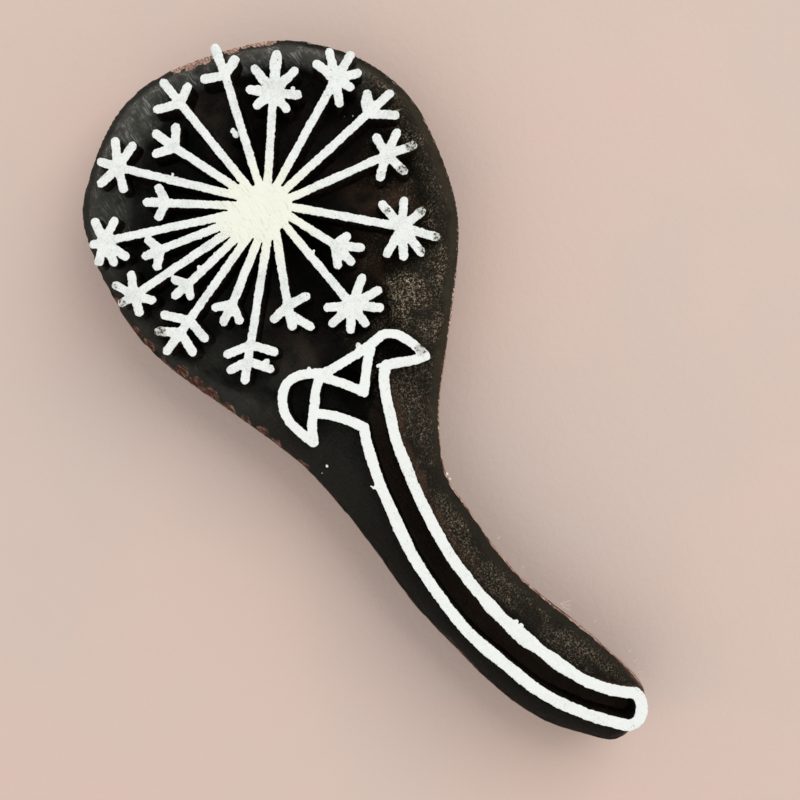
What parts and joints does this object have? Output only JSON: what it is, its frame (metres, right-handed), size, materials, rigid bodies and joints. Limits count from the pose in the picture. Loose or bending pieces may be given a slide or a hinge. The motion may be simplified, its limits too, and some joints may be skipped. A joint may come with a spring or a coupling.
{
  "type": "textile printing block",
  "caption": "Hand-held paddle-shaped wooden block for printing cloth, carved in relief with a seed-head flower on a curved stem, with a white coat on its printing lines.",
  "frame": {"origin": "middle of the block's outline, on the flat back", "axes": "+Z out of the printing face, +Y along the block from the stem's foot to the flower, +X to the right as the printing face is seen with the flower up"},
  "size_m": [0.0674, 0.1496, 0.025],
  "materials": {
    "block_wood": "dark stained, hand carved, bare reddish wood where the edges are worn",
    "line_wood": "dark stained carved sides",
    "white_coat": "chalky dried white paint, worn at the tips"
  },
  "bodies": {
    "root": {"block_body": "block_wood", "flower_hub": "line_wood", "seed_ray_01": "line_wood", "seed_ray_02": "line_wood", "seed_ray_03": "line_wood", "seed_ray_04": "line_wood", "seed_ray_05": "line_wood", "seed_ray_06": "line_wood", "seed_ray_07": "line_wood", "seed_ray_08": "line_wood", "seed_ray_09": "line_wood", "seed_ray_10": "line_wood", "seed_ray_11": "line_wood", "seed_ray_12": "line_wood", "seed_ray_13": "line_wood", "seed_ray_14": "line_wood", "seed_ray_15": "line_wood", "seed_ray_16": "line_wood", "seed_ray_17": "line_wood", "seed_ray_18": "line_wood", "seed_ray_19": "line_wood", "seed_ray_20": "line_wood", "left_leaf": "line_wood", "middle_leaf": "line_wood", "right_leaf": "line_wood", "neck_line": "line_wood", "stem_left_rail": "line_wood", "stem_right_rail": "line_wood", "stem_end": "line_wood", "coat_flower": "white_coat", "coat_stem": "white_coat"}
  },
  "joints": []
}
